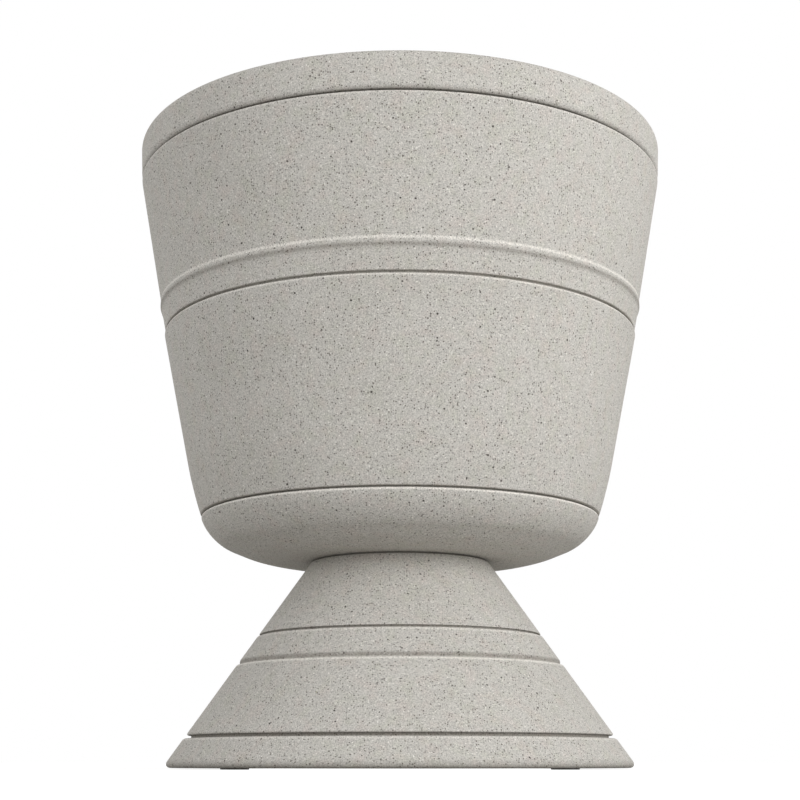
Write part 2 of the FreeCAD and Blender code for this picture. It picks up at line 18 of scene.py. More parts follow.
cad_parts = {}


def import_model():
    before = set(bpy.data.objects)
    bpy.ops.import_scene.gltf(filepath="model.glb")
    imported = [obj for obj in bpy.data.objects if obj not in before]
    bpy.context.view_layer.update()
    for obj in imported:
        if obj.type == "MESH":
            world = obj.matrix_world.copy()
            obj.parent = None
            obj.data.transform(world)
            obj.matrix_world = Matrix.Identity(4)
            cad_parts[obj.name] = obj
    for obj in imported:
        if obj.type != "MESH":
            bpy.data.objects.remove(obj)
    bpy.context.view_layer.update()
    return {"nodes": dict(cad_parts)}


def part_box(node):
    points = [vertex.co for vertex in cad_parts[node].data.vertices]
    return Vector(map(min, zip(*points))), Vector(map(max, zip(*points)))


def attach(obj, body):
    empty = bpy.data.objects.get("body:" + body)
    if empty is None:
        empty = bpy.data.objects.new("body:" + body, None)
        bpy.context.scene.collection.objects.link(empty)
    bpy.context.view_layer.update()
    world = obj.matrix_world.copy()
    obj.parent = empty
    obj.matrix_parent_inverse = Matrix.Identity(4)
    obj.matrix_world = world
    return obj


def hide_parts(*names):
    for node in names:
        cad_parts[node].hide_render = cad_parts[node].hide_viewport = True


LOG = logging.getLogger("urn_planter")

MM = 0.001
FULL_TURN = 2.0 * math.pi
TURN_STEPS = 288
SECTORS = 12
ROUND_PROFILE = 0.5
SHARP_ANGLE = math.radians(32.0)
MERGE_DISTANCE = 0.01 * MM
SHORTEST_HELD = 5.0
UPRIGHT = (0.0, 0.0, 1.0)
ORIGIN = (0.0, 0.0, 0.0)


class StoneFace(Enum):
    """The two surfaces that the castings have, by their material slot."""

    HONED = 0
    AS_CAST = 1


# Materials ------------------------------------------------------------------------------------

SRGB_TOP = 255.0
SRGB_KNEE = 0.04045
SRGB_SLOPE = 12.92
SRGB_OFFSET = 0.055
SRGB_POWER = 2.4

# Noise levels of the sand, each with the brightness that it adds, counted in speckles.
SAND_STEPS = ((0.30, -2.4), (0.44, -0.5), (0.56, 0.4), (0.72, 1.5))

# Where the second set of patterns starts, so that it doesn't fall on the first. In metres.
SECOND_PLACE = (0.31, 0.17, 0.23)


def linear(hex_colour: str) -> tuple[float, float, float, float]:
    """Turn an sRGB hex colour into Blender's linear colour.

    Args:
        hex_colour: six hex digits after a hash sign.

    Returns:
        Red, green, blue and alpha, linear.
    """
    levels = []
    for start in (1, 3, 5):
        level = int(hex_colour[start:start + 2], 16) / SRGB_TOP
        if level <= SRGB_KNEE:
            levels.append(level / SRGB_SLOPE)
        else:
            levels.append(((level + SRGB_OFFSET) / (1.0 + SRGB_OFFSET)) ** SRGB_POWER)
    return (levels[0], levels[1], levels[2], 1.0)


def per_mm(feature: float) -> float:
    """Texture scale that gives one feature of this many millimetres on Object coordinates."""
    return 1.0 / (feature * MM)


def add_node(tree: bpy.types.NodeTree, kind: str, settings: dict | None = None,
             inputs: dict | None = None) -> bpy.types.Node:
    """Add one node with its settings, constants and links.

    Args:
        tree: node tree that takes the node.
        kind: Blender's name for the node type, without the prefix ShaderNode.
        settings: attributes to set, by name.
        inputs: input sockets by name or number, each a constant or an output socket to link.

    Returns:
        The new node.
    """
    node = tree.nodes.new("ShaderNode" + kind)
    for name, value in (settings or {}).items():
        setattr(node, name, value)
    for key, value in (inputs or {}).items():
        if isinstance(value, bpy.types.NodeSocket):
            tree.links.new(value, node.inputs[key])
        else:
            node.inputs[key].default_value = value
    return node


def maths(tree: bpy.types.NodeTree, operation: str,
          *values: bpy.types.NodeSocket | float) -> bpy.types.NodeSocket:
    """Result of one Math node, with its inputs in order."""
    return add_node(tree, "Math", {"operation": operation}, dict(enumerate(values))).outputs["Value"]


def ranged(tree: bpy.types.NodeTree, value: bpy.types.NodeSocket, start: tuple = (0.0, 1.0),
           end: tuple = (0.0, 1.0), smooth: bool = False) -> bpy.types.NodeSocket:
    """Move a value from one range to another and hold it at the ends, eased in and out if smooth."""
    node = add_node(tree, "MapRange", {"interpolation_type": "SMOOTHSTEP" if smooth else "LINEAR"}, {
        "Value": value, "From Min": start[0], "From Max": start[1], "To Min": end[0], "To Max": end[1]})
    return node.outputs["Result"]


def mixed(tree: bpy.types.NodeTree, amount: bpy.types.NodeSocket | float, under: bpy.types.NodeSocket | tuple,
          over: bpy.types.NodeSocket | tuple, blend: str = "MIX") -> bpy.types.NodeSocket:
    """Lay a colour over another by an amount, in the way that Blender's blend name says."""
    return add_node(tree, "Mix", {"data_type": "RGBA", "blend_type": blend}, {
        0: amount, 6: under, 7: over}).outputs[2]


def noisy(tree: bpy.types.NodeTree, place: bpy.types.NodeSocket, size: float, detail: float,
          roughness: float = 0.5) -> bpy.types.NodeSocket:
    """Noise with features of this size in millimetres, and finer levels by detail and roughness."""
    return add_node(tree, "TexNoise", inputs={
        "Vector": place, "Scale": per_mm(size), "Detail": detail, "Roughness": roughness}).outputs["Fac"]


def bumped(tree: bpy.types.NodeTree, height: bpy.types.NodeSocket, depth: float,
           before: bpy.types.NodeSocket | None = None) -> bpy.types.NodeSocket:
    """Turn a pattern into small relief.

    Args:
        tree: node tree that takes the node.
        height: the pattern.
        depth: what a pattern level of 1 rises, in millimetres.
        before: normal that the relief is added to, if any.

    Returns:
        The new normal.
    """
    inputs = {"Height": height, "Strength": 1.0, "Distance": depth * MM}
    if before is not None:
        inputs["Normal"] = before
    return add_node(tree, "Bump", inputs=inputs).outputs["Normal"]


def ramped(tree: bpy.types.NodeTree, value: bpy.types.NodeSocket,
           stops: list[tuple[float, tuple[float, float, float, float]]]) -> bpy.types.NodeSocket:
    """Turn a value into a colour by a ramp.

    Args:
        tree: node tree that takes the node.
        value: the value.
        stops: position and linear colour of each stop, in rising order.

    Returns:
        The colour.
    """
    ramp = add_node(tree, "ValToRGB", inputs={"Fac": value})
    elements = ramp.color_ramp.elements
    while len(elements) < len(stops):
        elements.new(1.0)
    for element, (position, colour) in zip(elements, stops):
        element.position = position
        element.color = colour
    return ramp.outputs["Color"]


def grey(level: float) -> tuple[float, float, float, float]:
    """Opaque grey of a linear level."""
    return (level, level, level, 1.0)


def object_place(tree: bpy.types.NodeTree,
                 shift: tuple[float, float, float] = ORIGIN) -> bpy.types.NodeSocket:
    """Object coordinates in metres, shifted by a Mapping node."""
    coordinates = add_node(tree, "TexCoord").outputs["Object"]
    return add_node(tree, "Mapping", inputs={"Vector": coordinates, "Location": shift}).outputs["Vector"]


@dataclass(frozen=True)
class Finish(ABC):
    """A material: its name and the constants that its shader takes."""

    name: str
    colour: str
    roughness: float
    metallic: float = 0.0
    ior: float = 1.5

    def material(self) -> bpy.types.Material:
        """Build the material: its shader, with the surface's patterns linked to it.

        Returns:
            The finished material.
        """
        material = bpy.data.materials.new(self.name)
        material.use_nodes = True
        tree = material.node_tree
        tree.nodes.clear()
        shader = add_node(tree, "BsdfPrincipled", inputs={
            "Base Color": linear(self.colour), "Roughness": self.roughness,
            "Metallic": self.metallic, "IOR": self.ior})
        for name, pattern in self.surface(tree).items():
            tree.links.new(pattern, shader.inputs[name])
        add_node(tree, "OutputMaterial", inputs={"Surface": shader.outputs["BSDF"]})
        return material

    @abstractmethod
    def surface(self, tree: bpy.types.NodeTree) -> dict[str, bpy.types.NodeSocket]:
        """Patterns of the surface, by the shader input that each feeds."""


@dataclass(frozen=True)
class Layer:
    """A colour that lies over the stone, and how much of it shows where its mask is 1."""

    colour: str
    strength: float

    def over(self, tree: bpy.types.NodeTree, base: bpy.types.NodeSocket | tuple,
             mask: bpy.types.NodeSocket) -> bpy.types.NodeSocket:
        """Lay the colour over the stone where the mask says."""
        return mixed(tree, maths(tree, "MULTIPLY", mask, self.strength), base, linear(self.colour))


@dataclass(frozen=True)
class Patches(Layer):
    """Soft patches of another shade: size in millimetres, and noise levels where they start and are full."""

    size: float
    shifted: bool = False
    start: float = 0.45
    full: float = 0.75

    def mask(self, tree: bpy.types.NodeTree, place: bpy.types.NodeSocket) -> bpy.types.NodeSocket:
        """Where the patches are."""
        return ranged(tree, noisy(tree, place, self.size, 2.0, 0.55), (self.start, self.full), smooth=True)


@dataclass(frozen=True)
class Scatter(Layer):
    """Round grains or pits, each in a cell of its own.

    The spacing of the cells is in millimetres, and the share is the part of the cells that hold one. As a
    part of its cell, its radius is the reach times a number from the least to the least plus the spread. Its
    edge is soft, and sharper the greater the steepness.
    """

    spacing: float
    share: float
    reach: float
    shifted: bool = False
    least: float = 0.6
    spread: float = 0.8
    steepness: float = 2.2

    def mask(self, tree: bpy.types.NodeTree, place: bpy.types.NodeSocket) -> bpy.types.NodeSocket:
        """Where the grains or pits are.

        Args:
            tree: the material's node tree.
            place: mapped coordinates.

        Returns:
            Mask, 1 inside one.
        """
        cells = add_node(tree, "TexVoronoi", {"feature": "F1"}, {
            "Vector": place, "Scale": per_mm(self.spacing), "Randomness": 1.0})
        chance = add_node(tree, "SeparateColor", inputs={"Color": cells.outputs["Color"]})
        chosen = maths(tree, "LESS_THAN", chance.outputs["Red"], self.share)
        wide = maths(tree, "MULTIPLY_ADD", chance.outputs["Green"], self.reach * self.spread,
                     self.reach * self.least)
        soft = ranged(tree, cells.outputs["Distance"], (0.0, wide), (self.steepness, 0.0), smooth=True)
        return maths(tree, "MULTIPLY", maths(tree, "MINIMUM", soft, 1.0), chosen)


@dataclass(frozen=True)
class LevelMark(Layer):
    """Colour laid level round a casting: painted shade, painted highlights and some real dirt. Sizes in
    millimetres, height above the floor.
    """

    height: float
    reach: float
    fade: float

    def mask(self, tree: bpy.types.NodeTree, level: bpy.types.NodeSocket) -> bpy.types.NodeSocket:
        """Where the mark is, by the height above the floor in metres."""
        away = maths(tree, "ABSOLUTE", maths(tree, "SUBTRACT", level, self.height * MM))
        return ranged(tree, away, ((self.reach - self.fade) * MM, (self.reach + self.fade) * MM), (1.0, 0.0),
                      smooth=True)


@dataclass(frozen=True)
class CastStone(Finish):
    """Cast limestone: crushed stone and sand in pale cement. Sizes in millimetres.

    Honed, the cut grains show as a fine light and dark speckle with small air pits. Left as cast it is
    rougher and duller, with larger pits. Real sand is finer, 0.2 to 0.6 mm, and wouldn't show, so the grains
    are drawn at one to two millimetres. The cement is porous, so its IOR is below that of solid limestone.
    """

    grain: float = 1.1
    speckle: float = 0.21
    relief: float = 0.12
    pit_depth: float = 0.5
    gloss_spread: float = 0.08
    green: Patches = Patches("#B9BBA9", 0.28, 14.0)
    pink: Patches = Patches("#C8B9B2", 0.28, 14.0, shifted=True)
    clouds: Patches = Patches("#A9A59B", 0.15, 95.0)
    pale_grains: Scatter = Scatter("#EDEAE4", 0.55, 1.8, 0.2, 0.42, shifted=True)
    dark_grains: Scatter = Scatter("#4A433A", 0.85, 1.9, 0.32, 0.38)
    stains: Scatter = Scatter("#7C7C3A", 0.7, 30.0, 0.1, 0.05, shifted=True)
    # The air pits' dark colour is painted shade in their hollows; their dip is a bump.
    pits: Scatter = Scatter("#332E28", 0.92, 6.0, 0.35, 0.15)
    marks: tuple[LevelMark, ...] = ()
    mark_wander: float = 0.7
    mark_wander_size: float = 3.0

    def uneven_level(self, tree: bpy.types.NodeTree, place: bpy.types.NodeSocket) -> bpy.types.NodeSocket:
        """Height above the floor with a slight wander, so that no mark has a ruled edge.

        Args:
            tree: the material's node tree.
            place: coordinates in metres.

        Returns:
            The height in metres.
        """
        ragged = noisy(tree, place, self.mark_wander_size, 2.0)
        wander = maths(tree, "MULTIPLY_ADD", ragged, self.mark_wander * MM, -self.mark_wander * MM / 2.0)
        split = add_node(tree, "SeparateXYZ", inputs={"Vector": place})
        return maths(tree, "ADD", split.outputs["Z"], wander)

    def coloured(self, tree: bpy.types.NodeTree, places: dict[bool, bpy.types.NodeSocket],
                 pits: bpy.types.NodeSocket) -> bpy.types.NodeSocket:
        """Lay every layer over the stone's own colour, then the sand's fine light and dark speckle.

        Args:
            tree: the material's node tree.
            places: mapped coordinates, shifted or not.
            pits: mask of the air pits.

        Returns:
            The finished colour.
        """
        colour = linear(self.colour)
        for layer in (self.green, self.pink, self.clouds, self.pale_grains, self.dark_grains, self.stains):
            colour = layer.over(tree, colour, layer.mask(tree, places[layer.shifted]))
        # Air pits: their dark colour is painted shade.
        colour = self.pits.over(tree, colour, pits)
        # Level marks: painted shade and highlights at the lines, bead, step and foot, with some real dirt.
        level = self.uneven_level(tree, places[False])
        for mark in self.marks:
            colour = mark.over(tree, colour, mark.mask(tree, level))
        sand = ramped(tree, noisy(tree, places[False], self.grain, 2.5, 0.62),
                      [(level, grey(1.0 + share * self.speckle)) for level, share in SAND_STEPS])
        return mixed(tree, 1.0, colour, sand, "MULTIPLY")

    def surface(self, tree: bpy.types.NodeTree) -> dict[str, bpy.types.NodeSocket]:
        """Patterns of the stone, by the shader input that each feeds.

        Args:
            tree: the material's node tree.

        Returns:
            Its colour, relief and roughness.
        """
        places = {False: object_place(tree), True: object_place(tree, SECOND_PLACE)}
        pits = self.pits.mask(tree, places[self.pits.shifted])
        sand = noisy(tree, places[False], self.grain, 3.0, 0.6)
        pitted = bumped(tree, maths(tree, "SUBTRACT", 1.0, pits), self.pit_depth,
                        bumped(tree, sand, self.relief))
        gloss = ranged(tree, sand, end=(self.roughness - self.gloss_spread,
                                        self.roughness + self.gloss_spread))
        return {"Base Color": self.coloured(tree, places, pits), "Normal": pitted, "Roughness": gloss}


@dataclass(frozen=True)
class SatinSteel(Finish):
    """Stainless steel, turned on a lathe and left satin: fine rings round the axis, soft highlights.

    Sizes in millimetres. A lathe's rings are 0.1 mm apart and wouldn't show. These are drawn 4.4 mm apart,
    which takes a pattern size of 14 mm, as the wave texture puts about three rings in one.
    """

    ring_pattern: float = 14.0
    ring_depth: float = 0.02
    stain: float = 9.0
    stained: str = "#A9A8A4"
    polish: float = 0.08
    dulling: float = 0.14

    def surface(self, tree: bpy.types.NodeTree) -> dict[str, bpy.types.NodeSocket]:
        """Patterns of the steel, by the shader input that each feeds.

        Args:
            tree: the material's node tree.

        Returns:
            Its colour, relief and roughness.
        """
        place = object_place(tree)
        rings = add_node(tree, "TexWave", {"wave_type": "RINGS", "rings_direction": "Z"}, {
            "Vector": place, "Scale": per_mm(self.ring_pattern), "Distortion": 0.6, "Detail": 2.0})
        stain = noisy(tree, place, self.stain, 4.0)
        return {
            "Base Color": ramped(tree, stain, [(0.35, linear(self.stained)), (0.65, linear(self.colour))]),
            "Normal": bumped(tree, rings.outputs["Fac"], self.ring_depth),
            "Roughness": ranged(tree, stain, end=(self.roughness - self.polish,
                                                  self.roughness + self.dulling)),
        }


@dataclass(frozen=True)
class Moulded(Finish):
    """Moulded rubber or plastic: one body colour with a fine matt grain and a dusting of lime.

    Sizes in millimetres. A mould's grain is under 0.1 mm and wouldn't show, so it is drawn coarser.
    """

    grain: float = 0.8
    relief: float = 0.04
    dust: str = "#8C8982"
    dust_size: float = 7.0
    dust_strength: float = 0.25
    gloss_spread: float = 0.1

    def surface(self, tree: bpy.types.NodeTree) -> dict[str, bpy.types.NodeSocket]:
        """Patterns of the rubber or plastic, by the shader input that each feeds.

        Args:
            tree: the material's node tree.

        Returns:
            Its colour, relief and roughness.
        """
        place = object_place(tree)
        patches = noisy(tree, place, self.dust_size, 5.0, 0.65)
        dusty = ranged(tree, patches, (0.45, 0.8), (0.0, self.dust_strength))
        return {
            "Base Color": mixed(tree, dusty, linear(self.colour), linear(self.dust)),
            "Normal": bumped(tree, noisy(tree, place, self.grain, 3.0, 0.6), self.relief),
            "Roughness": ranged(tree, patches, end=(self.roughness - self.gloss_spread,
                                                    self.roughness + self.gloss_spread)),
        }


# Turned stainless steel, satin: bright grey with a soft sheen, a little stained by wet soil.
STEEL = SatinSteel("satin_stainless_steel", "#C8C6C1", 0.34, metallic=1.0)

# Moulded rubber: near black and matt, with pale lime dust.
RUBBER = Moulded("moulded_epdm_rubber", "#1F1F20", 0.72, grain=0.6)

# Moulded polypropylene: dark and half matt, with less dust than the rubber.
STRAINER_PLASTIC = Moulded("moulded_polypropylene", "#2C2F2C", 0.5, grain=0.5, relief=0.03,
                           dust_strength=0.15)

# Flexible bedding pressed out between the castings: stone grey, matt and sandy.
BEDDING = Moulded("flexible_bedding_compound", "#8D8981", 0.85, grain=1.2, relief=0.25, dust="#A7A39A",
                  dust_strength=0.6)

# The castings' inside, as it left the mould: duller, rougher and cloudier than outside, with wide pits whose
# dark colour is painted shade.
AS_CAST_STONE = CastStone("as_cast_limestone", "#B3AFA6", 0.92, grain=2.2, speckle=0.12, relief=0.36,
                          clouds=Patches("#A9A59B", 0.5, 95.0),
                          pits=Scatter("#332E28", 0.92, 12.0, 0.75, 0.15))

# The castings' outside, rubbed smooth: even warm grey with cut grains. Its level marks, painted shade and
# highlights with some real dirt, are added in main.
HONED_STONE = CastStone("honed_cast_limestone", "#C4C1BB", 0.82, ior=1.3)


# Mesh making -----------------------------------------------------------------------------------


@dataclass(frozen=True)
class Corner:
    """Corner of a turned outline: its place and rounding in millimetres, and the rounding's segments."""

    radius: float
    height: float
    rounding: float = 0.0
    segments: int = 6


def tangent_length(before: Vector, here: Vector, after: Vector, rounding: float) -> float:
    """Distance from a corner to where its rounding starts.

    Args:
        before: the corner before.
        here: the corner that is rounded.
        after: the corner after.
        rounding: radius of the rounding.

    Returns:
        The distance along each side.
    """
    turn = math.pi - (before - here).angle(after - here)
    return rounding * math.tan(turn / 2.0)


def draw_outline(mesh: bmesh.types.BMesh, corners: list[Corner]) -> None:
    """Draw a closed outline in the XZ plane and round its corners.

    Args:
        mesh: empty mesh that takes the outline.
        corners: the outline's corners in order.
    """
    points = [mesh.verts.new((c.radius * MM, 0.0, c.height * MM)) for c in corners]
    for index, point in enumerate(points):
        mesh.edges.new((point, points[(index + 1) % len(points)]))
    places = [point.co.copy() for point in points]
    for index, corner in enumerate(corners):
        if corner.rounding <= 0.0:
            continue
        reach = tangent_length(places[index - 1], places[index], places[(index + 1) % len(places)],
                               corner.rounding * MM)
        bmesh.ops.bevel(mesh, geom=[points[index]], offset=reach, offset_type="ABSOLUTE",
                        segments=corner.segments, profile=ROUND_PROFILE, affect="VERTICES", material=-1)


def hold_edges(mesh: bmesh.types.BMesh, near: float, step: float) -> None:
    """Split an outline's sides close to their ends and at even steps between, but for the shortest.

    Args:
        mesh: the outline.
        near: distance of the end splits, in millimetres.
        step: greatest length of the stretches between, in millimetres.
    """
    for edge in list(mesh.edges):
        length = edge.calc_length()
        if length < SHORTEST_HELD * near * MM:
            continue
        first, last = edge.verts
        rest, _ = bmesh.utils.edge_split(edge, first, near * MM / length)
        far, _ = bmesh.utils.edge_split(edge, last, near * MM / (length - near * MM))
        middle = max((rest, far, edge), key=lambda side: side.calc_length())
        cuts = int(middle.calc_length() / (step * MM))
        if cuts:
            bmesh.ops.subdivide_edges(mesh, edges=[middle], cuts=cuts)


def spin_outline(mesh: bmesh.types.BMesh, steps: int = TURN_STEPS) -> None:
    """Spin an outline through one sector, then repeat the sector all the way round.

    Args:
        mesh: the outline, which becomes the closed skin.
        steps: steps round the whole axis, a multiple of the number of sectors.
    """
    sector = FULL_TURN / SECTORS
    bmesh.ops.spin(mesh, geom=mesh.verts[:] + mesh.edges[:], cent=ORIGIN, axis=UPRIGHT,
                   angle=sector, steps=steps // SECTORS)
    first = mesh.verts[:] + mesh.edges[:] + mesh.faces[:]
    for number in range(1, SECTORS):
        copy = bmesh.ops.duplicate(mesh, geom=first)
        verts = [item for item in copy["geom"] if isinstance(item, bmesh.types.BMVert)]
        bmesh.ops.rotate(mesh, verts=verts, cent=ORIGIN, matrix=Matrix.Rotation(number * sector, 3, UPRIGHT))
    bmesh.ops.remove_doubles(mesh, verts=mesh.verts[:], dist=MERGE_DISTANCE)
    bmesh.ops.recalc_face_normals(mesh, faces=mesh.faces[:])


def join_mesh(mesh: bmesh.types.BMesh, part: bmesh.types.BMesh) -> None:
    """Copy a finished part into a mesh.

    Args:
        mesh: the mesh that takes the part.
        part: the part, which is freed.
    """
    data = bpy.data.meshes.new("part")
    part.to_mesh(data)
    part.free()
    mesh.from_mesh(data)
    bpy.data.meshes.remove(data)


def finish_mesh(mesh: bmesh.types.BMesh, name: str, materials: list[bpy.types.Material]) -> bpy.types.Object:
    """Turn a finished bmesh into an object at the origin, smooth but for its sharp edges.

    Args:
        mesh: the bmesh, which is freed.
        name: the piece's name.
        materials: its material slots in order.

    Returns:
        The new object.
    """
    for face in mesh.faces:
        face.smooth = True
    for edge in mesh.edges:
        edge.smooth = not (edge.is_manifold and edge.calc_face_angle() > SHARP_ANGLE)
    data = bpy.data.meshes.new(name)
    mesh.to_mesh(data)
    mesh.free()
    for material in materials:
        data.materials.append(material)
    piece = bpy.data.objects.new(name, data)
    bpy.context.scene.collection.objects.link(piece)
    return piece


def dress_node(node: bpy.types.Object, material: bpy.types.Material) -> None:
    """Give a carried-over node its material.

    Args:
        node: the node's object.
        material: the material that every slot takes.
    """
    if not node.material_slots:
        node.data.materials.append(material)
    for slot in node.material_slots:
        slot.material = material


def report(piece: bpy.types.Object, body: str) -> None:
    """Log one finished piece."""
    LOG.info("%s rides on %s, %d faces", piece.name, body, len(piece.data.polygons))


def hand_over(piece: bpy.types.Object, body: str, node: str) -> None:
    """Attach a new piece to the body that it moves with, hide the node that it stands for and log it.

    Args:
        piece: the new piece.
        body: body that it moves with.
        node: node that it stands for.
    """
    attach(piece, body)
    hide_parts(node)
    report(piece, body)


# The castings ----------------------------------------------------------------------------------

# Dark level colour: painted shade in the lines, under the bead, above the step and along the foot, with some
# real dirt in the lines and above the step.
SHADE_AND_DIRT = "#5A5348"
# Pale level colour: painted highlights on the edges below the lines, on the bead and on the step.
PAINTED_HIGHLIGHT = "#F1EDE5"


@dataclass(frozen=True)
class IncisedLine:
    """Line cut level into a wall: its height, opening, depth and rounded edges, in millimetres.

    The two strengths are of the dark colour in the line, painted shade with some real dirt, and of the pale
    painted highlight on the edge below it.
    """

    height: float
    width: float
    depth: float
    upper_round: float
    lower_round: float
    # Strength of the dark colour in the line: painted shade with some real dirt.
    dust: float
    painted_highlight: float
    painted_highlight_drop: float = 1.3
    painted_highlight_reach: float = 0.9
    painted_highlight_fade: float = 0.8
    dust_and_shade_fade: float = 0.5

    def corners(self, below: float, above: float) -> list[Corner]:
        """Corners of the line, from its lower edge up.

        Args:
            below: wall radius at the lower edge.
            above: wall radius at the upper edge.

        Returns:
            The four corners.
        """
        low = self.height - self.width / 2.0
        high = self.height + self.width / 2.0
        bottom = min(below, above) - self.depth
        ease = self.width / 4.0
        return [
            Corner(below, low, self.lower_round, 8),
            Corner(bottom, low, ease, 3),
            Corner(bottom, high, ease, 3),
            Corner(above, high, self.upper_round, 8),
        ]

    def marks(self, base: float) -> tuple[LevelMark, ...]:
        """Painted shade with some real dirt in the line, and a painted highlight on the edge below it.

        Args:
            base: height above the floor of the line's casting.

        Returns:
            The two marks.
        """
        middle = base + self.height
        edge = middle - self.width / 2.0 - self.painted_highlight_drop
        # Painted highlight below the line; painted shade with some real dirt in it.
        return (
            LevelMark(PAINTED_HIGHLIGHT, self.painted_highlight, edge, self.painted_highlight_reach, self.painted_highlight_fade),
            LevelMark(SHADE_AND_DIRT, self.dust, middle, self.width / 2.0, self.dust_and_shade_fade),
        )


@dataclass(frozen=True)
class Inside:
    """The space inside a casting, as a cone about its axis that starts at a floor, in millimetres."""

    low_radius: float
    low_height: float
    high_radius: float
    high_height: float
    floor: float = 0.0

    def holds(self, place: Vector) -> bool:
        """Whether a point in metres lies within the cone and between its ends."""
        height = place.z / MM
        if not max(self.low_height, self.floor) < height < self.high_height:
            return False
        share = (height - self.low_height) / (self.high_height - self.low_height)
        limit = self.low_radius + share * (self.high_radius - self.low_radius)
        return math.hypot(place.x, place.y) / MM < limit


@dataclass
class StoneCasting:
    """What both castings share: how they are turned and finished. Sizes in millimetres.

    The support and the stretch are the distances between the outline's splits, near a corner and along a
    side. The space inside a casting starts a little under its base.
    """

    support: float = 0.7
    stretch: float = 14.0
    shank_hole: float = 14.5
    shank_edge: float = 0.6
    under: float = 1.0

    def cast(self, name: str, node: str, corners: list[Corner], base: float, inside: Inside,
             stone: list[bpy.types.Material]) -> None:
        """Turn an outline, lift it into place and leave its inner faces as cast.

        Args:
            name: the piece's name.
            node: node that it stands for.
            corners: its outline.
            base: height of the outline's zero above the floor, in millimetres.
            inside: the space whose faces were left as cast.
            stone: the honed and the as-cast stone.
        """
        mesh = bmesh.new()
        draw_outline(mesh, corners)
        hold_edges(mesh, self.support, self.stretch)
        spin_outline(mesh)
        bmesh.ops.translate(mesh, vec=(0.0, 0.0, base * MM), verts=mesh.verts[:])
        for face in mesh.faces:
            side = StoneFace.AS_CAST if inside.holds(face.calc_center_median()) else StoneFace.HONED
            face.material_index = side.value
        hand_over(finish_mesh(mesh, name, stone), "planter", node)


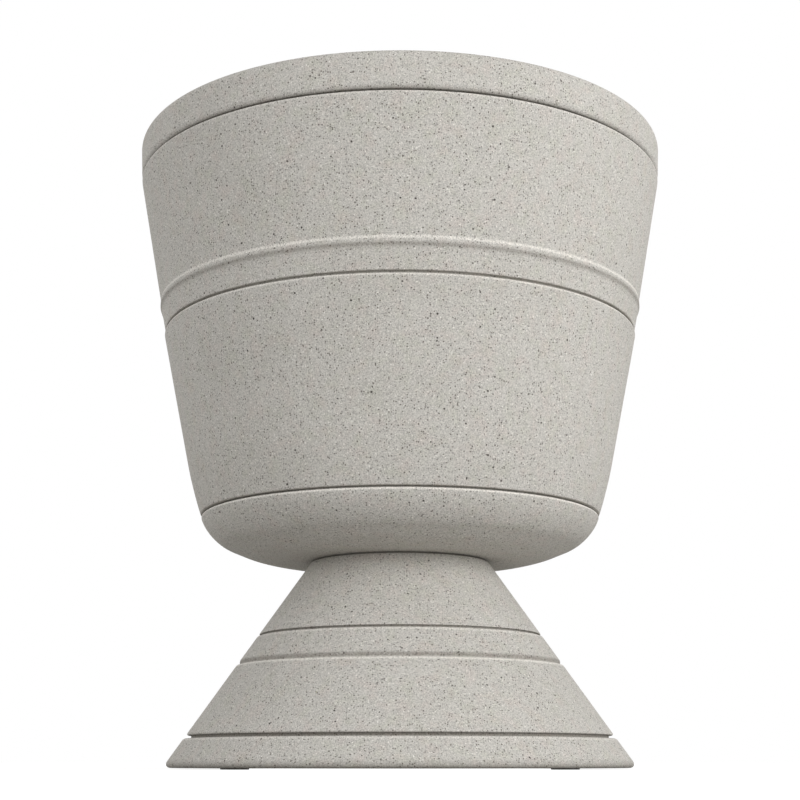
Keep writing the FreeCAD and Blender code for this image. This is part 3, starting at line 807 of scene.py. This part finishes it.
@dataclass
class Bowl(StoneCasting):
    """Tapered bowl with a rounded belly, a beaded band and a rim. Sizes in millimetres."""

    spigot_recess: float = 50.0
    recess_height: float = 8.5
    recess_round: float = 1.0
    belly_flat: float = 130.8
    belly_slope_run: float = 49.0
    belly_slope_rise: float = 20.0
    lower_wall_flare: float = 15.5
    lower_wall_rise: float = 47.1
    main_wall_flare: float = 30.5
    main_wall_rise: float = 148.9
    underside_blend: float = 100.0
    belly_round: float = 42.0
    knee_blend: float = 360.0
    band_setback: float = 1.2
    band_face_flare: float = 3.4
    band_face_rise: float = 17.5
    band_face_round: float = 7.0
    bead_flare: float = 2.2
    bead_flare_rise: float = 6.0
    bead_height: float = 3.3
    bead_round: float = 2.5
    bead_painted_highlight_rise: float = 1.6
    bead_painted_shade_drop: float = 4.4
    shoulder_drop: float = 0.4
    shoulder_rise: float = 3.0
    shoulder_round: float = 2.0
    upper_wall_flare: float = 22.0
    rim_flare: float = 1.5
    rim_width: float = 30.0
    rim_outer_round: float = 8.6
    rim_inner_round: float = 6.0
    liner_seat: float = 30.0
    liner_seat_round: float = 12.0
    floor_setback: float = 21.8
    floor_thickness: float = 40.0
    floor_round: float = 45.0
    flange_recess: float = 33.0
    flange_recess_floor: float = 33.0
    flange_recess_round: float = 2.0
    inside_low: float = 170.0
    inside_high: float = 228.0
    belly_line: IncisedLine = IncisedLine(41.7, 1.2, 7.0, 1.2, 3.4, dust=0.12, painted_highlight=0.72)
    band_line: IncisedLine = IncisedLine(216.0, 1.9, 4.0, 1.2, 2.8, dust=0.3, painted_highlight=0.5)
    rim_line: IncisedLine = IncisedLine(367.0, 2.2, 7.0, 4.5, 1.6, dust=0.95, painted_highlight=0.3)

    def outline(self, height: float) -> list[Corner]:
        """Outline of the bowl above its own underside.

        Args:
            height: the bowl's height, from the frame.

        Returns:
            The corners, from the shank hole outwards and up.
        """
        belly = self.belly_flat + self.belly_slope_run
        knee = belly + self.lower_wall_flare
        knee_height = self.belly_slope_rise + self.lower_wall_rise
        wall_top = knee + self.main_wall_flare
        band_foot = wall_top - self.band_setback
        face = band_foot + self.band_face_flare
        face_height = self.band_line.height + self.band_face_rise
        bead = face + self.bead_flare
        bead_low = face_height + self.bead_flare_rise
        bead_high = bead_low + self.bead_height
        shoulder = bead - self.shoulder_drop
        shoulder_height = bead_high + self.shoulder_rise
        rim_line = shoulder + self.upper_wall_flare
        rim = rim_line + self.rim_flare
        lower_slope = self.lower_wall_flare / self.lower_wall_rise
        belly_line = belly + (self.belly_line.height - self.belly_slope_rise) * lower_slope
        inner_rim = rim - self.rim_width
        corners = [
            Corner(self.shank_hole, self.recess_height),
            Corner(self.spigot_recess, self.recess_height, self.recess_round),
            Corner(self.spigot_recess, 0.0, self.recess_round),
            Corner(self.belly_flat, 0.0, self.underside_blend, 10),
            Corner(belly, self.belly_slope_rise, self.belly_round, 20),
        ]
        corners += self.belly_line.corners(belly_line, belly_line)
        corners.append(Corner(knee, knee_height, self.knee_blend, 10))
        corners += self.band_line.corners(wall_top, band_foot)
        corners += [
            Corner(face, face_height, self.band_face_round),
            Corner(bead, bead_low, self.bead_round),
            Corner(bead, bead_high, self.bead_round),
            Corner(shoulder, shoulder_height, self.shoulder_round),
        ]
        corners += self.rim_line.corners(rim_line, rim_line)
        corners += [
            Corner(rim, height, self.rim_outer_round, 16),
            Corner(inner_rim, height, self.rim_inner_round, 12),
            Corner(inner_rim, height - self.liner_seat, self.liner_seat_round),
            Corner(belly - self.floor_setback, self.floor_thickness, self.floor_round, 16),
            Corner(self.flange_recess, self.floor_thickness, self.flange_recess_round),
            Corner(self.flange_recess, self.flange_recess_floor, self.shank_edge),
            Corner(self.shank_hole, self.flange_recess_floor, self.shank_edge),
        ]
        return corners

    def marks(self) -> tuple[LevelMark, ...]:
        """Level marks of the bowl: its lines, a painted highlight on the bead's shoulder and painted shade in
        the undercut below it.
        """
        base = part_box("bowl")[0][2] / MM
        crest = base + self.band_line.height + self.band_face_rise + self.bead_flare_rise + self.bead_height
        # Painted highlight on the bead's up-facing shoulder, painted shade in the undercut below it.
        beading = (
            LevelMark(PAINTED_HIGHLIGHT, 0.5, crest + self.bead_painted_highlight_rise, reach=1.3, fade=0.9),
            LevelMark(SHADE_AND_DIRT, 0.4, crest - self.bead_painted_shade_drop, reach=1.9, fade=1.8),
        )
        return self.belly_line.marks(base) + self.band_line.marks(base) + beading + self.rim_line.marks(base)

    def build(self, stone: list[bpy.types.Material]) -> None:
        """Build the bowl inside its node's box.

        Args:
            stone: the honed and the as-cast stone.
        """
        low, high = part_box("bowl")
        base = low[2] / MM
        top = high[2] / MM
        inside = Inside(self.inside_low, base - self.under, self.inside_high, top - self.liner_seat / 2.0,
                        base + self.floor_thickness / 2.0)
        self.cast("stone_bowl", "bowl", self.outline(top - base), base, inside, stone)


@dataclass
class Pedestal(StoneCasting):
    """Hollow cone with three incised courses and a spigot for the bowl. Sizes in millimetres."""

    foot_radius: float = 215.0
    neck_radius: float = 83.2
    course_height: float = 186.5
    wall: float = 38.0
    plate: float = 34.0
    hollow_round: float = 20.0
    foot_round: float = 4.0
    foot_inner_round: float = 2.0
    spigot_radius: float = 48.0
    spigot_round: float = 2.0
    spigot_foot_round: float = 0.5
    neck_round: float = 0.8
    step_height: float = 91.5
    step_depth: float = 3.2
    step_lean: float = math.radians(12.0)
    step_upper_round: float = 4.0
    step_lower_round: float = 2.8
    step_inner_round: float = 0.5
    step_painted_highlight_drop: float = 0.9
    step_shade_and_dirt_rise: float = 2.3
    inside_low_gap: float = 12.0
    inside_high_gap: float = 20.0
    inside_top_gap: float = 5.0
    foot_line: IncisedLine = IncisedLine(27.1, 2.6, 5.0, 1.6, 3.6, dust=0.6, painted_highlight=0.3)
    neck_line: IncisedLine = IncisedLine(118.4, 1.8, 3.4, 0.8, 1.6, dust=0.45, painted_highlight=0.35)

    def cone(self, height: float) -> float:
        """Outer radius of the cone at a height above its foot."""
        return self.foot_radius - (self.foot_radius - self.neck_radius) * height / self.course_height

    def line_corners(self, line: IncisedLine) -> list[Corner]:
        """Corners of an incised line in the cone."""
        half = line.width / 2.0
        return line.corners(self.cone(line.height - half), self.cone(line.height + half))

    def outline(self, height: float) -> list[Corner]:
        """Outline of the pedestal above its own foot.

        Args:
            height: the pedestal's height with its spigot, from the frame.

        Returns:
            The corners, from the hollow's ceiling down, out and up.
        """
        ceiling = self.course_height - self.plate
        slope = (self.foot_radius - self.neck_radius) / self.course_height
        edge = self.cone(self.step_height)
        step_top = self.step_height + self.step_depth / (math.tan(self.step_lean) + slope)
        corners = [
            Corner(self.shank_hole, ceiling),
            Corner(self.cone(ceiling) - self.wall, ceiling, self.hollow_round, 8),
            Corner(self.foot_radius - self.wall, 0.0, self.foot_inner_round),
            Corner(self.foot_radius, 0.0, self.foot_round, 8),
        ]
        corners += self.line_corners(self.foot_line)
        corners += [
            Corner(edge, self.step_height, self.step_lower_round, 8),
            Corner(edge - self.step_depth, self.step_height, self.step_inner_round, 3),
            Corner(self.cone(step_top), step_top, self.step_upper_round, 8),
        ]
        corners += self.line_corners(self.neck_line)
        corners += [
            Corner(self.neck_radius, self.course_height, self.neck_round, 3),
            Corner(self.spigot_radius, self.course_height, self.spigot_foot_round, 3),
            Corner(self.spigot_radius, height, self.spigot_round),
            Corner(self.shank_hole, height, self.shank_edge, 3),
        ]
        return corners

    def marks(self) -> tuple[LevelMark, ...]:
        """Level marks of the pedestal: its lines, painted shade along the foot, and a painted highlight on
        the step's edge with painted shade and some dirt above it.
        """
        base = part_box("pedestal")[0][2] / MM
        ledge = base + self.step_height
        # Painted shade along the foot's lower edge, a painted highlight on the step's edge, painted shade
        # with some dirt above it.
        others = (
            LevelMark(SHADE_AND_DIRT, 0.45, base, reach=4.5, fade=5.0),
            LevelMark(PAINTED_HIGHLIGHT, 0.6, ledge - self.step_painted_highlight_drop, reach=1.0, fade=0.8),
            LevelMark(SHADE_AND_DIRT, 0.45, ledge + self.step_shade_and_dirt_rise, reach=1.9, fade=1.3),
        )
        return others + self.foot_line.marks(base) + self.neck_line.marks(base)

    def build(self, stone: list[bpy.types.Material]) -> None:
        """Build the pedestal inside its node's box.

        Args:
            stone: the honed and the as-cast stone.
        """
        low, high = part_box("pedestal")
        base = low[2] / MM
        inside = Inside(self.foot_radius - self.inside_low_gap, base - self.under,
                        self.cone(self.course_height) - self.inside_high_gap,
                        base + self.course_height - self.inside_top_gap)
        self.cast("stone_pedestal", "pedestal", self.outline(high[2] / MM - base), base, inside, stone)


# The joint and the drain -----------------------------------------------------------------------


@dataclass
class BeddingJoint:
    """Flexible bedding squeezed between the castings. Sizes in millimetres."""

    squeeze: float = 0.5
    ripple: float = 0.45
    ripple_size: float = 16.0
    inner_radius: float = 51.5
    edge_round: float = 0.5
    edge_reach: float = 2.0
    steps: int = 240

    def build(self, bedding: bpy.types.Material) -> None:
        """Build the ring with a bulged, slightly uneven outer edge.

        Args:
            bedding: its finish.
        """
        low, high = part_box("bed_joint")
        base, top, outer = low[2] / MM, high[2] / MM, high[0] / MM
        crest = outer - self.ripple
        mesh = bmesh.new()
        draw_outline(mesh, [
            Corner(self.inner_radius, base),
            Corner(crest - self.squeeze, base),
            Corner(crest, (base + top) / 2.0, self.edge_round, 4),
            Corner(crest - self.squeeze, top),
            Corner(self.inner_radius, top),
        ])
        spin_outline(mesh, self.steps)
        for vert in mesh.verts:
            if math.hypot(vert.co.x, vert.co.y) / MM > outer - self.edge_reach:
                wave = noise.noise(vert.co / (self.ripple_size * MM))
                vert.co += Vector((vert.co.x, vert.co.y, 0.0)).normalized() * wave * self.ripple * MM
        hand_over(finish_mesh(mesh, "bedding_joint", [bedding]), "planter", "bed_joint")


@dataclass
class DrainFitting:
    """Flanged fitting with a rolled thread on its shank. Sizes in millimetres."""

    bore: float = 10.0
    bore_edge: float = 0.5
    shank_radius: float = 13.0
    shank_end_round: float = 0.8
    shank_runout: float = 1.0
    flange_thickness: float = 4.0
    flange_round: float = 1.5
    flange_fillet: float = 0.5
    flange_edge: float = 0.4
    mouth_round: float = 2.0
    threaded: float = 70.0
    thread_pitch: float = 1.5
    thread_depth: float = 0.9
    ridge_foot: float = 0.42
    ridge_crest: float = 0.08
    ridge_buried: float = 0.3
    crest_gap: float = 0.02
    thread_steps: int = 48
    steps: int = 96

    def build(self, steel: bpy.types.Material) -> None:
        """Build the fitting inside its node's box.

        Args:
            steel: its finish.
        """
        low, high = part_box("drain_fitting")
        bottom, top, flange = low[2] / MM, high[2] / MM, high[0] / MM
        root = self.shank_radius - self.thread_depth
        shoulder = top - self.flange_thickness
        thread_top = bottom + self.threaded
        mesh = bmesh.new()
        draw_outline(mesh, [
            Corner(self.bore, bottom, self.bore_edge, 3),
            Corner(root, bottom, self.shank_end_round, 3),
            Corner(root, thread_top),
            Corner(self.shank_radius, thread_top + self.shank_runout),
            Corner(self.shank_radius, shoulder, self.flange_fillet, 3),
            Corner(flange, shoulder, self.flange_edge, 3),
            Corner(flange, top, self.flange_round),
            Corner(self.bore, top, self.mouth_round),
        ])
        spin_outline(mesh, self.steps)
        self.add_thread(mesh, root, bottom + self.thread_pitch, thread_top)
        piece = finish_mesh(mesh, "threaded_drain_fitting", [steel])
        hand_over(piece, "planter", "drain_fitting")

    def add_thread(self, mesh: bmesh.types.BMesh, root: float, start: float, end: float) -> None:
        """Wind the thread's ridge round the shank as one helix.

        Args:
            mesh: the fitting's mesh, which takes the ridge.
            root: radius at the thread's root.
            start: height of the first turn.
            end: height that the last turn reaches.
        """
        turns = int((end - start) / self.thread_pitch) - 1
        half = self.ridge_foot * self.thread_pitch
        flat = self.ridge_crest * self.thread_pitch
        buried = root - self.ridge_buried
        crest = root + self.thread_depth - self.crest_gap
        corners = [(buried, -half), (root, -half), (crest, -flat),
                   (crest, flat), (root, half), (buried, half)]
        thread = bmesh.new()
        section = [thread.verts.new((radius * MM, 0.0, (start + height) * MM)) for radius, height in corners]
        for index, vert in enumerate(section):
            thread.edges.new((section[index - 1], vert))
        pitch = self.thread_pitch * MM
        bmesh.ops.spin(thread, geom=thread.verts[:] + thread.edges[:], cent=ORIGIN, axis=UPRIGHT,
                       dvec=(0.0, 0.0, pitch / self.thread_steps), angle=FULL_TURN, steps=self.thread_steps)
        first = thread.verts[:] + thread.edges[:] + thread.faces[:]
        for turn in range(1, turns):
            copy = bmesh.ops.duplicate(thread, geom=first)
            verts = [item for item in copy["geom"] if isinstance(item, bmesh.types.BMVert)]
            bmesh.ops.translate(thread, vec=(0.0, 0.0, turn * pitch), verts=verts)
        bmesh.ops.remove_doubles(thread, verts=thread.verts[:], dist=MERGE_DISTANCE)
        ends = [edge for edge in thread.edges if edge.is_boundary]
        bmesh.ops.holes_fill(thread, edges=ends, sides=len(corners))
        bmesh.ops.recalc_face_normals(thread, faces=thread.faces[:])
        join_mesh(mesh, thread)
        LOG.info("thread of %d turns", turns)


@dataclass
class DrainPlug:
    """Rubber plug with three sealing ribs and a pull tab. Sizes in millimetres."""

    tab_length: float = 16.0
    tab_width: float = 14.0
    tab_thickness: float = 4.0
    tab_hole: float = 3.5
    tab_segments: int = 32
    tab_top_share: float = 0.6
    tab_side_share: float = 0.5
    tab_slack: float = 0.1
    tab_bury: float = 0.5
    core_radius: float = 0.6
    core_reach: float = 0.7
    head_radius: float = 14.0
    head_thickness: float = 4.0
    head_lower_round: float = 1.2
    head_upper_round: float = 1.0
    stem_radius: float = 9.3
    stem_round: float = 0.4
    rib_radius: float = 9.85
    rib_round: float = 0.4
    rib_foot_round: float = 0.3
    rib_first: float = 1.5
    rib_rises: tuple[float, float, float] = (0.8, 1.6, 2.6)
    ribs: int = 3
    rib_margin: float = 3.0
    tip_taper: float = 0.7
    tip_round: float = 0.8
    steps: int = 72

    def build(self, rubber: bpy.types.Material) -> None:
        """Build the plug inside its node's box.

        Args:
            rubber: its finish.
        """
        low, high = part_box("drain_plug")
        bottom, tip = low[2] / MM, high[2] / MM
        head_low = bottom + self.tab_length
        head_high = head_low + self.head_thickness
        pitch = (tip - head_high - self.rib_margin) / self.ribs
        corners = [
            Corner(self.core_radius, head_low),
            Corner(self.head_radius, head_low, self.head_lower_round),
            Corner(self.head_radius, head_high, self.head_upper_round),
            Corner(self.stem_radius, head_high, self.stem_round, 3),
        ]
        for rib in range(self.ribs):
            foot = head_high + self.rib_first + rib * pitch
            crest, crest_end, end = [foot + rise for rise in self.rib_rises]
            corners += [
                Corner(self.stem_radius, foot, self.rib_foot_round, 2),
                Corner(self.rib_radius, crest, self.rib_round, 3),
                Corner(self.rib_radius, crest_end, self.rib_round, 3),
                Corner(self.stem_radius, end, self.rib_foot_round, 2),
            ]
        corners.append(Corner(self.stem_radius - self.tip_taper, tip, self.tip_round))
        corners.append(Corner(self.core_radius, tip))
        mesh = bmesh.new()
        draw_outline(mesh, corners)
        spin_outline(mesh, self.steps)
        self.close_core(mesh)
        self.add_tab(mesh, bottom, head_low)
        hand_over(finish_mesh(mesh, "rubber_drain_plug", [rubber]), "plug", "drain_plug")

    def close_core(self, mesh: bmesh.types.BMesh) -> None:
        """Draw the small hole that the spin leaves about the axis together to a line."""
        reach = self.core_reach * MM
        inner = [edge for edge in mesh.edges if all(math.hypot(v.co.x, v.co.y) < reach for v in edge.verts)]
        for vert in {vert for edge in inner for vert in edge.verts}:
            vert.co.x = 0.0
            vert.co.y = 0.0
        bmesh.ops.remove_doubles(mesh, verts=mesh.verts[:], dist=MERGE_DISTANCE)
        bmesh.ops.recalc_face_normals(mesh, faces=mesh.faces[:])

    def add_tab(self, mesh: bmesh.types.BMesh, bottom: float, head: float) -> None:
        """Add the pull tab: a rounded plate with a hole, bridged from two loops.

        Args:
            mesh: the plug's mesh, which takes the tab.
            bottom: height of the tab's end.
            head: height of the underside of the plug's head.
        """
        tab = bmesh.new()
        half = self.tab_width / 2.0
        centre = Vector((0.0, 0.0, (bottom + half) * MM))
        place = Matrix.Translation(centre) @ Matrix.Rotation(math.pi / 2.0, 4, "X")
        hole, rim = [
            bmesh.ops.create_circle(tab, cap_ends=False, radius=radius * MM,
                                    segments=self.tab_segments, matrix=place)
            for radius in (self.tab_hole, half)
        ]
        top = centre.z + half * self.tab_top_share * MM
        for vert in rim["verts"]:
            if vert.co.z <= centre.z + self.tab_slack * MM:
                continue
            if vert.co.z > top:
                vert.co.z = (head + self.tab_bury) * MM
            if abs(vert.co.x) > half * self.tab_side_share * MM:
                vert.co.x = math.copysign(half * MM, vert.co.x)
        edges = {edge for vert in hole["verts"] + rim["verts"] for edge in vert.link_edges}
        bridge = bmesh.ops.bridge_loops(tab, edges=list(edges))
        plate = bmesh.ops.extrude_face_region(tab, geom=bridge["faces"])
        moved = [item for item in plate["geom"] if isinstance(item, bmesh.types.BMVert)]
        bmesh.ops.translate(tab, vec=(0.0, self.tab_thickness * MM, 0.0), verts=moved)
        bmesh.ops.translate(tab, vec=(0.0, -self.tab_thickness * MM / 2.0, 0.0), verts=tab.verts[:])
        bmesh.ops.recalc_face_normals(tab, faces=tab.faces[:])
        join_mesh(mesh, tab)


@dataclass
class PlainPieces:
    """Nodes whose shape is right as it is, each with its finish."""

    rubber: tuple[str, ...] = ("flange_gasket", "clamp_gasket")
    steel: tuple[str, ...] = ("clamp_washer", "lock_nut")
    plastic: tuple[str, ...] = ("drain_strainer",)
    pads: int = 4

    def dress(self, nodes: dict[str, bpy.types.Object], materials: dict[str, bpy.types.Material]) -> None:
        """Dress every carried-over node.

        Args:
            nodes: the frame's nodes by name.
            materials: finishes by slot name.
        """
        pads = tuple("foot_pad_%d" % number for number in range(1, self.pads + 1))
        kept = {"rubber": self.rubber + pads, "steel": self.steel, "strainer": self.plastic}
        for slot, names in kept.items():
            for name in names:
                dress_node(nodes[name], materials[slot])
                LOG.info("%s keeps its node and takes %s", name, materials[slot].name)


# The studio ------------------------------------------------------------------------------------


@dataclass(frozen=True)
class SoftLight:
    """Square soft light: where it hangs about the planter, its side and its power."""

    name: str
    azimuth: float
    elevation: float
    distance: float
    side: float
    power: float

    def hang(self, target: Vector) -> None:
        """Hang the light so that it faces the target.

        Args:
            target: point in metres that the light faces.
        """
        around, above = math.radians(self.azimuth), math.radians(self.elevation)
        level = math.cos(above)
        away = Vector((math.sin(around) * level, -math.cos(around) * level, math.sin(above)))
        data = bpy.data.lights.new(self.name, "AREA")
        data.shape = "SQUARE"
        data.size = self.side
        data.energy = self.power
        lamp = bpy.data.objects.new(self.name, data)
        lamp.location = target + away * self.distance
        lamp.rotation_euler = away.to_track_quat("Z", "Y").to_euler()
        bpy.context.scene.collection.objects.link(lamp)


@dataclass
class Studio:
    """White floor and surroundings, soft lights and the camera."""

    lens: float = 72.43
    sensor: float = 36.0
    camera_distance: float = 1.5072
    camera_height: float = 0.00545
    pitch: float = math.radians(12.705)
    floor_side: float = 16.0
    ambient: float = 0.53
    floor_colour: str = "#ADACAA"
    floor_lift: float = 0.78
    floor_near: float = 0.45
    floor_far: float = 1.2
    under_reach: float = 0.16
    under_light: float = 0.5
    clip_start: float = 0.01
    clip_end: float = 60.0
    target: tuple[float, float, float] = (0.0, 0.0, 0.33)
    lights: tuple[SoftLight, ...] = (
        SoftLight("key", 40.0, 7.0, 2.6, 1.6, 44.0),
        SoftLight("left_fill", -60.0, 6.0, 2.6, 1.6, 17.0),
        SoftLight("right_fill", 90.0, 6.0, 2.6, 1.6, 7.0),
    )

    @staticmethod
    def looking(tree: bpy.types.NodeTree) -> bpy.types.NodeSocket:
        """Mask of the rays that show the background: straight, mirrored or through something clear.

        Args:
            tree: node tree that takes the nodes.

        Returns:
            Mask, 1 for those rays.
        """
        path = add_node(tree, "LightPath").outputs
        seen = maths(tree, "MAXIMUM", path["Is Camera Ray"], path["Is Glossy Ray"])
        return maths(tree, "MAXIMUM", seen, path["Is Transmission Ray"])

    def set_world(self) -> None:
        """Light the room evenly, and show white behind the planter."""
        world = bpy.data.worlds.new("studio")
        bpy.context.scene.world = world
        world.use_nodes = True
        tree = world.node_tree
        tree.nodes.clear()
        strength = ranged(tree, self.looking(tree), end=(self.ambient, 1.0))
        sky = add_node(tree, "Background", inputs={"Color": grey(1.0), "Strength": strength})
        add_node(tree, "OutputWorld", inputs={"Surface": sky.outputs["Background"]})

    def lay_floor(self) -> None:
        """Lay the pale floor, which shows white like the photograph's but for the planter's shadow.

        A camera under it looks through it, and the patch inside the foot's ring lights the hollow, so the
        planter's underside can be seen.
        """
        mesh = bmesh.new()
        bmesh.ops.create_grid(mesh, x_segments=1, y_segments=1, size=self.floor_side / 2.0)
        material = bpy.data.materials.new("studio_floor")
        material.use_nodes = True
        tree = material.node_tree
        tree.nodes.clear()
        matt = add_node(tree, "BsdfDiffuse", inputs={"Color": linear(self.floor_colour)})
        away = add_node(tree, "VectorMath", {"operation": "LENGTH"}, {0: object_place(tree)}).outputs["Value"]
        lift = ranged(tree, away, (self.floor_near, self.floor_far), (self.floor_lift, 1.0), smooth=True)
        seen = maths(tree, "MULTIPLY", lift, self.looking(tree))
        under = maths(tree, "LESS_THAN", away, self.under_reach)
        strength = maths(tree, "MULTIPLY_ADD", under, self.under_light, seen)
        glow = add_node(tree, "Emission", inputs={"Color": grey(1.0), "Strength": strength})
        both = add_node(tree, "AddShader", inputs={0: matt.outputs["BSDF"], 1: glow.outputs["Emission"]})
        below = maths(tree, "MULTIPLY", add_node(tree, "NewGeometry").outputs["Backfacing"],
                      add_node(tree, "LightPath").outputs["Is Camera Ray"])
        clear = add_node(tree, "BsdfTransparent")
        shown = add_node(tree, "MixShader", inputs={
            0: below, 1: both.outputs["Shader"], 2: clear.outputs["BSDF"]})
        add_node(tree, "OutputMaterial", inputs={"Surface": shown.outputs["Shader"]})
        finish_mesh(mesh, "studio_floor", [material])

    def set_camera(self) -> None:
        """Put the camera where the photograph's rings and outline say it stood."""
        data = bpy.data.cameras.new("camera")
        data.lens = self.lens
        data.sensor_width = self.sensor
        data.clip_start = self.clip_start
        data.clip_end = self.clip_end
        camera = bpy.data.objects.new("camera", data)
        camera.location = (0.0, -self.camera_distance, self.camera_height)
        camera.rotation_euler = (math.pi / 2.0 + self.pitch, 0.0, 0.0)
        bpy.context.scene.collection.objects.link(camera)
        bpy.context.scene.camera = camera

    def build(self) -> None:
        """Build the whole studio."""
        self.set_world()
        self.lay_floor()
        for light in self.lights:
            light.hang(Vector(self.target))
        self.set_camera()
        bpy.context.scene.view_settings.view_transform = "Standard"


# Putting it together ---------------------------------------------------------------------------


def main() -> None:
    """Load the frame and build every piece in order."""
    logging.basicConfig(level=logging.INFO, format="%(message)s")
    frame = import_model()

    bowl, pedestal = Bowl(), Pedestal()
    # The level marks lay painted shade and highlights, with some real dirt, on the honed stone.
    honed = replace(HONED_STONE, marks=bowl.marks() + pedestal.marks())
    stone = [honed.material(), AS_CAST_STONE.material()]
    steel = STEEL.material()
    rubber = RUBBER.material()
    bowl.build(stone)
    pedestal.build(stone)
    BeddingJoint().build(BEDDING.material())
    DrainFitting().build(steel)
    DrainPlug().build(rubber)
    PlainPieces().dress(frame["nodes"], {
        "rubber": rubber, "steel": steel, "strainer": STRAINER_PLASTIC.material()})
    Studio().build()


if __name__ == "__main__":
    main()
